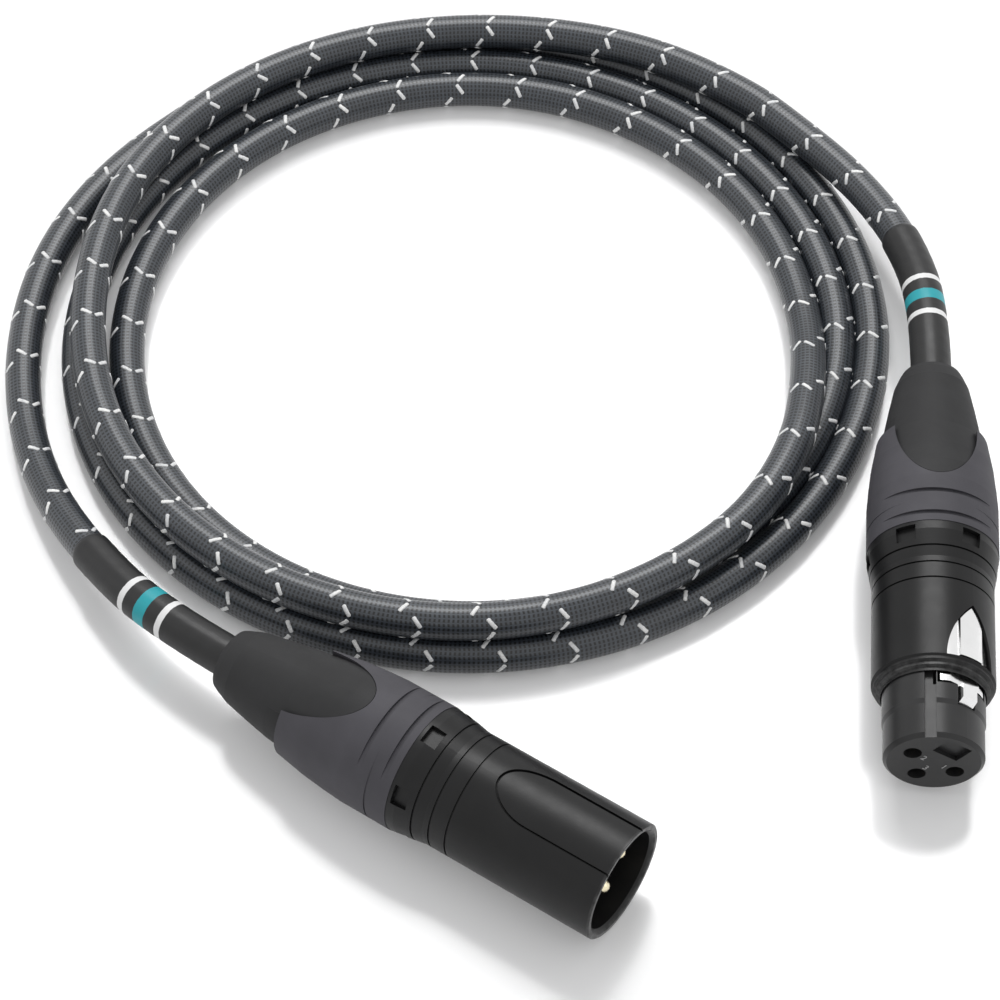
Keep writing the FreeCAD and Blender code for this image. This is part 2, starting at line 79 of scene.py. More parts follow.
def makeCamera():
    data = bpy.data.cameras.new("viewCamera")
    data.lens = viewCamera["lens"]
    data.sensor_width = viewCamera["sensor"]
    data.sensor_fit = "HORIZONTAL"
    data.clip_start = viewCamera["clipStart"]
    camera = addObject("viewCamera", data)
    camera.location = viewCamera["place"]
    look = Vector(viewCamera["target"]) - Vector(viewCamera["place"])
    camera.rotation_euler = look.to_track_quat("-Z", "Y").to_euler()
    bpy.context.scene.camera = camera


makeCamera()
print("camera placed")


# short calls for node trees: a value is either a number, a colour or another node's output
def addNode(tree, kind, **values):
    node = tree.nodes.new(kind)
    for key, value in values.items():
        setattr(node, key, value)
    return node


def feed(tree, socket, value):
    if isinstance(value, bpy.types.NodeSocket):
        tree.links.new(value, socket)
    else:
        socket.default_value = value


def mathNode(tree, operation, *inputs, clamp=False):
    node = addNode(tree, "ShaderNodeMath", operation=operation, use_clamp=clamp)
    for socket, value in zip(node.inputs, inputs):
        feed(tree, socket, value)
    return node.outputs[0]


def vectorNode(tree, operation, *inputs):
    node = addNode(tree, "ShaderNodeVectorMath", operation=operation)
    for socket, value in zip(node.inputs, inputs):
        feed(tree, socket, value)
    return node.outputs["Value" if operation in ("DOT_PRODUCT", "LENGTH") else "Vector"]


def mixNode(tree, factor, first, second, blend="MIX"):
    node = addNode(tree, "ShaderNodeMix", data_type="RGBA", blend_type=blend)
    for name, value in (("Factor", factor), ("A", first), ("B", second)):
        feed(tree, node.inputs[name], value)
    return node.outputs["Result"]


def rampNode(tree, value, low, high, first, last):
    node = addNode(tree, "ShaderNodeMapRange", clamp=True)
    names = ("Value", "From Min", "From Max", "To Min", "To Max")
    for name, number in zip(names, (value, low, high, first, last)):
        feed(tree, node.inputs[name], number)
    return node.outputs["Result"]


def noiseNode(tree, place, scale, detail=3.0, roughness=0.5, distortion=0.0):
    node = addNode(tree, "ShaderNodeTexNoise")
    names = ("Vector", "Scale", "Detail", "Roughness", "Distortion")
    for name, value in zip(names, (place, scale, detail, roughness, distortion)):
        feed(tree, node.inputs[name], value)
    return node.outputs["Fac"]


def objectPlace(tree):
    return addNode(tree, "ShaderNodeTexCoord").outputs["Object"]


def opaque(values):
    return (*values, 1.0)


def newGroup(name, inputs, outputs):
    tree = bpy.data.node_groups.new(name, "ShaderNodeTree")
    for label, kind, value in inputs:
        socket = tree.interface.new_socket(label, in_out="INPUT", socket_type="NodeSocket" + kind)
        if value is not None:
            socket.default_value = value
    for label, kind in outputs:
        tree.interface.new_socket(label, in_out="OUTPUT", socket_type="NodeSocket" + kind)
    return tree, addNode(tree, "NodeGroupInput").outputs, addNode(tree, "NodeGroupOutput").inputs


def placeGroup(tree, group, values):
    node = addNode(tree, "ShaderNodeGroup", node_tree=group)
    for key, value in values.items():
        feed(tree, node.inputs[key], value)
    return node.outputs


sheenRoughness = 0.4


def newMaterial(name, metallic=0.0, specular=0.5, coat=0.0, coatRoughness=0.15, sheen=0.0):
    material = bpy.data.materials.new(name)
    material.use_nodes = True
    tree = material.node_tree
    tree.nodes.clear()
    shader = addNode(tree, "ShaderNodeBsdfPrincipled")
    shader.inputs["Metallic"].default_value = metallic
    shader.inputs["Specular IOR Level"].default_value = specular
    shader.inputs["Coat Weight"].default_value = coat
    shader.inputs["Coat Roughness"].default_value = coatRoughness
    shader.inputs["Sheen Weight"].default_value = sheen
    shader.inputs["Sheen Roughness"].default_value = sheenRoughness
    tree.links.new(shader.outputs[0], addNode(tree, "ShaderNodeOutputMaterial").inputs["Surface"])
    return material, tree, shader.inputs


def addBump(tree, shader, height, strength, distance):
    bump = addNode(tree, "ShaderNodeBump")
    bump.inputs["Strength"].default_value = strength
    bump.inputs["Distance"].default_value = distance
    tree.links.new(height, bump.inputs["Height"])
    tree.links.new(bump.outputs["Normal"], shader["Normal"])


# fine moulded or plated grain, slow changes of shade and a few faint scuffs; scales are per metre
surfaceGrain = {
    "fineDetail": 2.0,
    "broad": (90.0, 3.0, 0.6),           # slow change of shade: scale, detail, roughness
    "smear": (420.0, 4.0, 0.7),          # change of gloss
    "wander": (260.0, 2.0, 0.5, 2.5),    # lines that scuffs follow, with their distortion
    "scuffWidth": 0.010,
    "scuffPatches": (0.54, 0.68),        # where the slow change lets scuffs in
    "scuffPaler": 0.3,
    "scuffDuller": 0.2,
    "scuffRaised": 0.5,
}


def makeGrainGroup():
    tree, given, made = newGroup(
        "surfaceGrain",
        [("Base", "Color", None), ("Grain Size", "Float", 0.2), ("Shade Change", "Float", 0.3),
         ("Roughness", "Float", 0.4), ("Roughness Change", "Float", 0.1), ("Scuffs", "Float", 0.3)],
        [("Colour", "Color"), ("Roughness", "Float"), ("Height", "Float")])
    place = objectPlace(tree)
    perMetre = mathNode(tree, "DIVIDE", 1 / mm, given["Grain Size"])
    fine = noiseNode(tree, place, perMetre, surfaceGrain["fineDetail"])
    broad = noiseNode(tree, place, *surfaceGrain["broad"])
    smear = noiseNode(tree, place, *surfaceGrain["smear"])
    wander = noiseNode(tree, place, *surfaceGrain["wander"])
    line = mathNode(tree, "ABSOLUTE", mathNode(tree, "SUBTRACT", wander, 0.5))
    line = rampNode(tree, line, 0.0, surfaceGrain["scuffWidth"], 1.0, 0.0)
    patches = rampNode(tree, broad, *surfaceGrain["scuffPatches"], 0.0, 1.0)
    scuff = mathNode(tree, "MULTIPLY", line, patches)
    scuff = mathNode(tree, "MULTIPLY", scuff, given["Scuffs"])
    shade = mathNode(tree, "MULTIPLY", mathNode(tree, "SUBTRACT", broad, 0.5), given["Shade Change"])
    shade = mathNode(tree, "MULTIPLY_ADD", shade, 2.0, 1.0)
    shade = mathNode(tree, "MULTIPLY_ADD", scuff, surfaceGrain["scuffPaler"], shade)
    level = addNode(tree, "ShaderNodeCombineColor")
    for socket in level.inputs[:3]:
        feed(tree, socket, shade)
    feed(tree, made["Colour"], mixNode(tree, 1.0, given["Base"], level.outputs[0], "MULTIPLY"))
    rough = mathNode(tree, "MULTIPLY", mathNode(tree, "SUBTRACT", smear, 0.5), given["Roughness Change"])
    rough = mathNode(tree, "ADD", rough, given["Roughness"])
    feed(tree, made["Roughness"],
         mathNode(tree, "MULTIPLY_ADD", scuff, surfaceGrain["scuffDuller"], rough, clamp=True))
    feed(tree, made["Height"],
         mathNode(tree, "MULTIPLY_ADD", scuff, surfaceGrain["scuffRaised"], fine))
    return tree


# paler, rubbed metal along a turned edge, which also serves as a painted highlight on the rim: At is its distance
# in mm along Axis from Origin
edgeWearAndHighlight = {
    "patches": (800.0, 3.0, 0.6),        # scale per metre, detail, roughness
    "patchRange": (0.36, 0.62),
    "leastRubbed": 0.15,
    # the paler edge colour: rubbed metal, and a painted highlight on the rim
    "colour": (0.075, 0.075, 0.075),
    "strength": 0.8,
    "smoother": -0.08,                   # added to the roughness
}


def makeEdgeWearAndHighlightGroup():
    tree, given, made = newGroup(
        "edgeWearAndHighlight",
        [("Origin", "Vector", None), ("Axis", "Vector", None), ("At", "Float", 0.0), ("Reach", "Float", 0.3)],
        [("Mask", "Float")])
    place = objectPlace(tree)
    fromOrigin = vectorNode(tree, "SUBTRACT", place, given["Origin"])
    away = mathNode(tree, "MULTIPLY", vectorNode(tree, "DOT_PRODUCT", fromOrigin, given["Axis"]), 1 / mm)
    away = mathNode(tree, "ABSOLUTE", mathNode(tree, "SUBTRACT", away, given["At"]))
    near = mathNode(tree, "SUBTRACT", 1.0, mathNode(tree, "DIVIDE", away, given["Reach"]), clamp=True)
    patchy = rampNode(tree, noiseNode(tree, place, *edgeWearAndHighlight["patches"]), *edgeWearAndHighlight["patchRange"],
                      edgeWearAndHighlight["leastRubbed"], 1.0)
    feed(tree, made["Mask"], mathNode(tree, "MULTIPLY", near, patchy))
    return tree


# the picks of a braid, over and under each other: Along in mm, Around from 0 to 1
braidWeave = {
    "slant": 0.12,               # how far a pick leans along the cable, in picks
    "hump": 0.6,                 # how much of a pick's height is lost at its ends
    "gapShadeEnds": (0.45, 0.85),     # how the painted shade in a gap fades towards the middle of a pick
    "gapShadeSides": (0.30, 0.65),    # and towards the sides of a row
}


def makeBraidGroup():
    tree, given, made = newGroup(
        "braidWeave",
        [("Along", "Float", 0.0), ("Around", "Float", 0.0), ("Pick Length", "Float", 0.72),
         ("Rows Around", "Float", 26.0)],
        [("Height", "Float"), ("Painted Gap Shade", "Float"), ("Variation", "Float")])
    along = mathNode(tree, "DIVIDE", given["Along"], given["Pick Length"])
    around = mathNode(tree, "MULTIPLY", given["Around"], given["Rows Around"])
    row = mathNode(tree, "FLOOR", around)
    odd = mathNode(tree, "MODULO", row, 2.0)
    way = mathNode(tree, "SUBTRACT", mathNode(tree, "MULTIPLY", odd, 2.0), 1.0)     # -1 or 1 by row
    slant = mathNode(tree, "MULTIPLY", way, braidWeave["slant"])
    across = mathNode(tree, "SUBTRACT", mathNode(tree, "SUBTRACT", around, row), 0.5)
    shifted = mathNode(tree, "MULTIPLY_ADD", across, slant, along)
    pick = mathNode(tree, "FLOOR", shifted)
    lengthwise = mathNode(tree, "SUBTRACT", mathNode(tree, "SUBTRACT", shifted, pick), 0.5)
    crown = mathNode(tree, "COSINE", mathNode(tree, "MULTIPLY", across, pi))
    hump = mathNode(tree, "COSINE", mathNode(tree, "MULTIPLY", lengthwise, pi))
    rounded = mathNode(tree, "SQRT", mathNode(tree, "MAXIMUM", crown, 0.0))
    lengthHump = mathNode(tree, "MULTIPLY_ADD", hump, braidWeave["hump"], 1.0 - braidWeave["hump"])
    feed(tree, made["Height"], mathNode(tree, "MULTIPLY", rounded, lengthHump))
    # painted shade: a mask for the gaps between picks, where the crevices fall in shadow
    atEnds = rampNode(tree, hump, *braidWeave["gapShadeEnds"], 1.0, 0.0)
    offSides = rampNode(tree, crown, *braidWeave["gapShadeSides"], 0.0, 1.0)
    feed(tree, made["Painted Gap Shade"], mathNode(tree, "MULTIPLY", atEnds, offSides))
    cell = addNode(tree, "ShaderNodeCombineXYZ")
    feed(tree, cell.inputs[0], row)
    feed(tree, cell.inputs[1], pick)
    random = addNode(tree, "ShaderNodeTexWhiteNoise", noise_dimensions="2D")
    feed(tree, random.inputs["Vector"], cell.outputs[0])
    feed(tree, made["Variation"], random.outputs["Value"])
    return tree


grainGroup = makeGrainGroup()
edgeWearAndHighlightGroup = makeEdgeWearAndHighlightGroup()
braidGroup = makeBraidGroup()
print("shared effects made")

hardRoughnessChange = 0.14
hardBump = 0.6
# how each hard piece is finished; the grain's size and depth in mm
hardFinishes = {
    "blackPlating": {"base": (0.0085, 0.0085, 0.0088), "roughness": 0.37, "specular": 0.24, "grain": 0.20,
                     "depth": 0.010, "change": 0.7, "scuffs": 0.6},
    "glandPlastic": {"base": (0.066, 0.064, 0.073), "roughness": 0.62, "specular": 0.25, "grain": 0.22,
                     "depth": 0.012, "change": 0.35, "scuffs": 0.2},
    "reliefRubber": {"base": (0.024, 0.024, 0.025), "roughness": 0.62, "specular": 0.25, "grain": 0.30,
                     "depth": 0.010, "change": 0.35, "scuffs": 0.2},
    "carrierPlastic": {"base": (0.019, 0.019, 0.0195), "roughness": 0.36, "specular": 0.35, "grain": 0.20,
                       "depth": 0.012, "change": 0.5, "scuffs": 0.5},
    "chuckPlastic": {"base": (0.055, 0.055, 0.058), "roughness": 0.5, "grain": 0.3, "depth": 0.01,
                     "change": 0.3, "scuffs": 0.1},
    "contactGold": {"base": (0.88, 0.79, 0.56), "roughness": 0.2, "metallic": 1.0, "grain": 0.12,
                    "depth": 0.002, "change": 0.12, "scuffs": 0.3},
    "latchChrome": {"base": (0.80, 0.80, 0.80), "roughness": 0.2, "metallic": 1.0, "grain": 0.5,
                    "depth": 0.02, "change": 0.15, "scuffs": 0.5},
    "springSteel": {"base": (0.56, 0.56, 0.57), "roughness": 0.28, "metallic": 1.0, "grain": 0.15,
                    "depth": 0.003, "change": 0.12, "scuffs": 0.4},
    "coreRed": {"base": (0.42, 0.035, 0.03), "roughness": 0.35, "grain": 0.2, "depth": 0.003,
                "change": 0.2, "scuffs": 0.1},
    "coreWhite": {"base": (0.72, 0.71, 0.68), "roughness": 0.35, "grain": 0.2, "depth": 0.003,
                  "change": 0.1, "scuffs": 0.1},
    "screenCopper": {"base": (0.72, 0.38, 0.22), "roughness": 0.3, "metallic": 1.0, "grain": 0.1,
                     "depth": 0.01, "change": 0.2, "scuffs": 0.3},
    "numeralPaint": {"base": (0.34, 0.34, 0.34), "roughness": 0.5, "grain": 0.1, "depth": 0.002,
                     "change": 0.3, "scuffs": 0.2},
}
# turned edges made paler, partly as rubbed wear and partly as a painted highlight: origin, axis, distance along it
# and reach in mm
edgesWithWearAndHighlight = {
    "male_shell": (maleMouth, maleAxis, 0.0, 0.45),
    "female_shell": (femaleFace, femaleAxis, -12.2, 1.1),
}
nodeFinishes = {
    "shell": "blackPlating", "insert": "carrierPlastic", "ground_clip": "springSteel",
    "chuck": "chuckPlastic", "gland_nut": "glandPlastic", "bend_relief": "reliefRubber",
    "wire_hot": "coreRed", "wire_cold": "coreWhite", "wire_screen": "screenCopper",
    "cable_end": "carrierPlastic", "latch": "latchChrome", "latch_pin": "springSteel",
    "pin_1": "contactGold", "pin_2": "contactGold", "pin_3": "contactGold",
    "contact_1": "contactGold", "contact_2": "contactGold", "contact_3": "contactGold",
}


def makeHardMaterial(name, finish, edge=None):
    material, tree, shader = newMaterial(name, finish.get("metallic", 0.0), finish.get("specular", 0.5))
    grain = placeGroup(tree, grainGroup, {
        "Base": opaque(finish["base"]), "Grain Size": finish["grain"], "Shade Change": finish["change"],
        "Roughness": finish["roughness"], "Roughness Change": hardRoughnessChange,
        "Scuffs": finish["scuffs"]})
    colour, roughness = grain["Colour"], grain["Roughness"]
    if edge:
        origin, axis, at, reach = edge
        wornLit = placeGroup(tree, edgeWearAndHighlightGroup, {
            "Origin": tuple(origin), "Axis": tuple(axis), "At": at, "Reach": reach})
        # wear and painted highlight: the rim is mixed towards the paler colour
        strength = mathNode(tree, "MULTIPLY", wornLit["Mask"], edgeWearAndHighlight["strength"])
        colour = mixNode(tree, strength, colour, opaque(edgeWearAndHighlight["colour"]))
        roughness = mathNode(tree, "MULTIPLY_ADD", wornLit["Mask"], edgeWearAndHighlight["smoother"], roughness)
    feed(tree, shader["Base Color"], colour)
    feed(tree, shader["Roughness"], roughness)
    addBump(tree, shader, grain["Height"], hardBump, finish["depth"] * mm)
    return material


def paint(thing, material):
    thing.data.materials.clear()
    thing.data.materials.append(material)


hardMaterials = {name: makeHardMaterial(name, finish) for name, finish in hardFinishes.items()}
for name, thing in frame["nodes"].items():
    part = name.split("_", 1)[1]
    if part in nodeFinishes:
        finish = nodeFinishes[part]
        material = hardMaterials[finish]
        if name in edgesWithWearAndHighlight:
            material = makeHardMaterial(finish + "WornAndHighlit_" + name, hardFinishes[finish], edgesWithWearAndHighlight[name])
        paint(thing, material)
print("hard pieces painted")

# the cable's loose ends, from each boot to the coil, in metres
maleLead = [
    (-0.04992, -0.05051, 0.0105),
    (-0.06752, -0.05051, 0.0105),
    (-0.0851, -0.04505, 0.0076),
    (-0.1007, -0.03755, 0.0047),
    (-0.1131, -0.02805, 0.0032),
    (-0.1235, -0.01625, 0.00305),
    (-0.1315, -0.00245, 0.00305),
    (-0.1359, 0.01155, 0.00305),
    (-0.1371, 0.02655, 0.00305),
    (-0.1351, 0.04095, 0.00305),
]
femaleLead = [
    (-0.0421, 0.09895, 0.0086),
    (-0.0249, 0.09395, 0.0086),
    (-0.01, 0.08515, 0.0096),
    (0.00252, 0.07152, 0.01192),
    (0.01121, 0.05622, 0.01143),
]
coilTurns = {
    "centre": (-0.0631, 0.02985),
    "step": 15.0,                # degrees from one point to the next
    "start": 156.0,              # where the first turn takes over from the male lead
    "end": -999.0,               # where the last turn hands over to the female lead
    "pull": 0.9915,              # the line runs at this share of its points' radius
    "ease": 0.4,                 # how softly it passes from one station to the next
    "resolution": 16,            # places read from the curve between two points
    # wound clockwise: angle in degrees, then radius and height in mm
    "stations": [
        (156, 72.9, 3.05), (94, 71.2, 3.05), (54, 69.6, 3.05), (-1, 67.0, 3.05), (-51, 66.3, 3.05),
        (-176, 66.2, 3.05), (-240, 65.9, 3.05), (-286, 64.0, 3.05), (-326, 63.0, 3.05), (-356, 61.2, 3.05),
        (-386, 59.9, 3.05), (-446, 59.2, 3.05), (-506, 58.1, 3.05),
        (-566, 59.4, 3.05), (-600, 59.8, 3.05), (-646, 58.0, 3.05), (-681, 57.2, 3.05), (-696, 57.6, 6.3),
        (-706, 59.0, 8.3), (-718, 61.2, 9.1), (-731, 62.6, 8.9), (-771, 64.0, 8.6), (-861, 64.0, 8.6),
        (-876, 65.0, 9.0), (-901, 67.5, 8.9), (-921, 68.6, 8.4), (-960, 69.2, 8.3), (-986, 70.8, 8.9),
        (-999, 71.3, 8.9),
    ],
}


def coilPlace(angle):
    stations = coilTurns["stations"]
    for (a0, r0, h0), (a1, r1, h1) in zip(stations, stations[1:]):
        if a0 >= angle >= a1:
            share = (a0 - angle) / (a0 - a1)
            ease = coilTurns["ease"]
            share = (1 - ease) * share + ease * share * share * (3 - 2 * share)
            return (r0 + (r1 - r0) * share) * mm, (h0 + (h1 - h0) * share) * mm


def coilPoints():
    count = round((coilTurns["start"] - coilTurns["end"]) / coilTurns["step"])
    centreX, centreY = coilTurns["centre"]
    points = []
    for index in range(count + 1):
        angle = coilTurns["start"] - index * coilTurns["step"]
        radius, height = coilPlace(angle)
        reach = radius / coilTurns["pull"]
        turn = radians(angle)
        points.append((centreX + reach * cos(turn), centreY + reach * sin(turn), height))
    return points


def routeLine(points):
    data = bpy.data.curves.new("cableRoute", "CURVE")
    data.dimensions = "3D"
    data.resolution_u = coilTurns["resolution"]
    spline = data.splines.new("NURBS")
    spline.points.add(len(points) - 1)
    for target, point in zip(spline.points, points):
        target.co = (*point, 1.0)
    spline.order_u = 3
    spline.use_endpoint_u = True
    route = addObject("cableRoute", data)
    bpy.context.view_layer.update()
    mesh = bpy.data.meshes.new_from_object(route)
    line = [vertex.co.copy() for vertex in mesh.vertices]
    bpy.data.objects.remove(route)
    bpy.data.meshes.remove(mesh)
    return line


linePoints = routeLine(maleLead + coilPoints() + femaleLead)
lineRuns = [0.0]
for before, after in zip(linePoints, linePoints[1:]):
    lineRuns.append(lineRuns[-1] + (after - before).length)
cableLength = lineRuns[-1]
print("cable line made, %.0f mm long" % (cableLength / mm))


# a point on the cable's line, the way it runs there, and the directions to its side and its top
def onLine(run):
    low, high = 0, len(lineRuns) - 2
    while low < high:
        middle = (low + high + 1) // 2
        low, high = (middle, high) if lineRuns[middle] <= run else (low, middle - 1)
    share = (run - lineRuns[low]) / (lineRuns[low + 1] - lineRuns[low])
    before = linePoints[max(low - 1, 0)]
    here, after = linePoints[low], linePoints[low + 1]
    later = linePoints[min(low + 2, len(linePoints) - 1)]
    along = (after - before).normalized().lerp((later - here).normalized(), share).normalized()
    side = along.cross(Vector((0, 0, 1))).normalized()
    return here.lerp(after, share), along, side, side.cross(along).normalized()


def addPiece(name, work, material, body="root"):
    bmesh.ops.recalc_face_normals(work, faces=work.faces)
    mesh = bpy.data.meshes.new(name)
    work.to_mesh(mesh)
    work.free()
    thing = addObject(name, mesh)
    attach(thing, body)
    paint(thing, material)
    return thing


def skin(work, rings):
    for one, two in zip(rings, rings[1:]):
        for index in range(len(one)):
            after = (index + 1) % len(one)
            work.faces.new((one[index], one[after], two[after], two[index])).smooth = True
    work.faces.new(rings[0][::-1])
    work.faces.new(rings[-1])


# a tube round the cable's line; its UV map "cableRun" holds the distance in mm and the turn from 0 to 1
def tubeAlong(stations, sides, zero=0.0, ripple=None):
    work = bmesh.new()
    layer = work.loops.layers.uv.new("cableRun")
    rings = []
    for run, radius in stations:
        point, along, side, top = onLine(run)
        ring = []
        for index in range(sides):
            turn = 2 * pi * index / sides
            reach = radius + (ripple(run, turn) if ripple else 0.0)
            ring.append(work.verts.new(point + (top * cos(turn) + side * sin(turn)) * reach))
        rings.append(ring)
    for number, (one, two) in enumerate(zip(rings, rings[1:])):
        for index in range(sides):
            after = (index + 1) % sides
            face = work.faces.new((one[index], one[after], two[after], two[index]))
            face.smooth = True
            corners = ((0, index), (0, index + 1), (1, index + 1), (1, index))
            for loop, (step, turn) in zip(face.loops, corners):
                loop[layer].uv = (abs(stations[number + step][0] - zero) / mm, turn / sides)
    work.faces.new(rings[0][::-1])
    work.faces.new(rings[-1])
    return work


braidedJacket = {
    "diameter": 0.006,
    "sides": 40,
    "pickLength": 0.72,          # mm along the cable
    "rowsAround": 26,
    "yarn": (0.013, 0.017, 0.023),
    "paleYarn": (0.035, 0.044, 0.057),
    "slowShade": (120.0, 2.0),   # scale per metre and detail
    # painted shade: the near-black colour and metal of the gaps between picks, where they fall in shadow
    "paintedGapShade": (0.002, 0.002, 0.002),
    "gapShadeMetal": 0.95,
    "roughness": 0.34,
    "pickRoughness": 0.1,        # added from pick to pick
    "gapShadeRoughness": 0.4,
    "specular": 0.25,
    "coat": 1.0,
    "coatRoughness": 0.36,
    "bump": 0.5,
    "depth": 0.09,               # mm
}


def braidPlace(tree):
    run = addNode(tree, "ShaderNodeUVMap", uv_map="cableRun").outputs[0]
    split = addNode(tree, "ShaderNodeSeparateXYZ")
    feed(tree, split.inputs[0], run)
    weave = placeGroup(tree, braidGroup, {
        "Along": split.outputs[0], "Around": split.outputs[1], "Pick Length": braidedJacket["pickLength"],
        "Rows Around": braidedJacket["rowsAround"]})
    return split.outputs[0], weave


def makeJacketMaterial():
    material, tree, shader = newMaterial(
        "braidedJacket", specular=braidedJacket["specular"], coat=braidedJacket["coat"],
        coatRoughness=braidedJacket["coatRoughness"])
    run, weave = braidPlace(tree)
    slow = noiseNode(tree, objectPlace(tree), *braidedJacket["slowShade"])
    pale = mathNode(tree, "MULTIPLY", mathNode(tree, "ADD", weave["Variation"], slow), 0.5)
    yarn = mixNode(tree, pale, opaque(braidedJacket["yarn"]), opaque(braidedJacket["paleYarn"]))
    # painted shade: the gaps between picks are coloured near-black
    feed(tree, shader["Base Color"], mixNode(tree, weave["Painted Gap Shade"], yarn, opaque(braidedJacket["paintedGapShade"])))
    rough = mathNode(tree, "MULTIPLY_ADD", weave["Variation"], braidedJacket["pickRoughness"],
                     braidedJacket["roughness"])
    rough = mathNode(tree, "MULTIPLY_ADD", weave["Painted Gap Shade"], braidedJacket["gapShadeRoughness"], rough)
    feed(tree, shader["Roughness"], rough)
    # painted shade: the gaps between yarns swallow light, so there they are made like a near-black metal that
    # keeps them dark as if in shadow
    feed(tree, shader["Metallic"], mathNode(tree, "MULTIPLY", weave["Painted Gap Shade"], braidedJacket["gapShadeMetal"]))
    addBump(tree, shader, weave["Height"], braidedJacket["bump"], braidedJacket["depth"] * mm)
    return material


def makeCable():
    radius = braidedJacket["diameter"] / 2
    stations = [(run, radius) for run in lineRuns]
    work = tubeAlong(stations, braidedJacket["sides"])
    thing = addPiece("braidedCable", work, makeJacketMaterial())
    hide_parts("cable_coil", "cable_lead_male", "cable_lead_female")
    return thing


braidedCable = makeCable()
print("braided cable made")

# white yarn that comes to the surface of the braid in rings; lengths in mm
whiteYarn = {
    "ringPitch": 11.15,
    "ringStart": 5.0,
    "around": 8,
    "length": 2.1,
    "width": 0.70,
    "proud": 0.11,
    "ahead": (0.30, 0.10, -1.95, -2.10),        # where each of four yarns sits along the cable
    "slant": (36, -36, 34, -34),                # degrees from straight across
    "uneven": (0.1, 6),          # how far places and slants stray, in mm and degrees
    "sides": 6,
    "steps": ((-1.0, 0.55), (-0.86, 1.0), (0.0, 1.0), (0.86, 1.0), (1.0, 0.55)),   # along, and fullness
    "shades": ((0.72, 0.73, 0.74), (0.88, 0.88, 0.87)),
    "dirt": (0.3, 0.31, 0.33),
    "dirtMost": 0.3,
    "roughness": (0.7, 0.5),
    "specular": 0.4,
    "sheen": 0.15,
    "fibres": (3500.0, 2.0),     # scale per metre and detail
    "patches": (500.0, 2.0),
    "bump": 0.6,
    "depth": 0.03,
}


def makeYarnMaterial():
    material, tree, shader = newMaterial(
        "whiteYarn", specular=whiteYarn["specular"], sheen=whiteYarn["sheen"])
    place = objectPlace(tree)
    fine = noiseNode(tree, place, *whiteYarn["fibres"])
    broad = noiseNode(tree, place, *whiteYarn["patches"])
    grey, white = whiteYarn["shades"]
    pale = mixNode(tree, rampNode(tree, broad, 0.35, 0.6, 0.0, 1.0), opaque(grey), opaque(white))
    dirty = rampNode(tree, fine, 0.3, 0.55, whiteYarn["dirtMost"], 0.0)
    feed(tree, shader["Base Color"], mixNode(tree, dirty, pale, opaque(whiteYarn["dirt"])))
    feed(tree, shader["Roughness"], rampNode(tree, fine, 0.3, 0.7, *whiteYarn["roughness"]))
    addBump(tree, shader, fine, whiteYarn["bump"], whiteYarn["depth"] * mm)
    return material


def unevenness(seed):
    value = sin(seed * 12.9898 + 4.1414) * 43758.5453      # repeatable, from -1 to 1
    return 2 * (value - value // 1) - 1


# one short stretch of yarn, flattened and blunt, bent round the cable
def addYarn(work, run, turn, slant):
    radius = braidedJacket["diameter"] / 2
    length, width, proud = (whiteYarn[key] * mm for key in ("length", "width", "proud"))
    rings = []
    for step, swell in whiteYarn["steps"]:
        ring = []
        for index in range(whiteYarn["sides"]):
            angle = 2 * pi * index / whiteYarn["sides"]
            across = cos(angle) * width / 2 * swell
            forward = step * length / 2
            ahead = forward * cos(slant) - across * sin(slant)
            spin = turn + (forward * sin(slant) + across * cos(slant)) / radius
            point, along, side, top = onLine(run + ahead)
            out = top * cos(spin) + side * sin(spin)
            ring.append(work.verts.new(point + out * (radius + sin(angle) * proud * swell)))
        rings.append(ring)
    skin(work, rings)


def makeYarns(first, last):
    work = bmesh.new()
    run = whiteYarn["ringStart"] * mm
    strayAlong, straySlant = whiteYarn["uneven"]
    seed = 0
    while run < last:
        for index in range(whiteYarn["around"]):
            kind = index % len(whiteYarn["ahead"])
            turn = 2 * pi * index / whiteYarn["around"]
            place = run + (whiteYarn["ahead"][kind] + strayAlong * unevenness(seed)) * mm
            slant = radians(90 + whiteYarn["slant"][kind] + straySlant * unevenness(seed + 0.5))
            seed += 1
            if first < place < last:
                addYarn(work, place, turn, slant)
        run += whiteYarn["ringPitch"] * mm
    return addPiece("whiteYarns", work, makeYarnMaterial())


shrinkSleeve = {
    "diameter": 0.0067,
    "length": 0.037,             # from its hidden end inside the boot
    "sides": 48,
    "step": 0.0005,
    "lip": 0.0008,               # length over which the open end thins
    "thinnest": 0.3,             # share of the wall left at that end
    "ripple": 0.00002,
    "base": (0.010, 0.010, 0.0105),
    "grain": {"Grain Size": 0.4, "Shade Change": 0.5, "Roughness": 0.42, "Roughness Change": 0.2,
              "Scuffs": 0.3},
    "specular": 0.4,
    "weaveShows": 0.6,           # share of the relief that comes from the braid underneath
    "bump": 0.35,
    "depth": 0.03,               # mm
    # printed rings: distance from the hidden end and width in mm, and colour
    "rings": [(15.2, 1.1, (0.78, 0.78, 0.78)), (19.2, 2.2, (0.015, 0.33, 0.38)),
              (23.2, 1.1, (0.78, 0.78, 0.78))],
    "ringEdge": (0.05, 0.12),    # where a ring's print starts and stops fading, in mm past its edge
    "ragged": 0.18,              # mm
    "raggedNoise": (1500.0, 3.0),
}


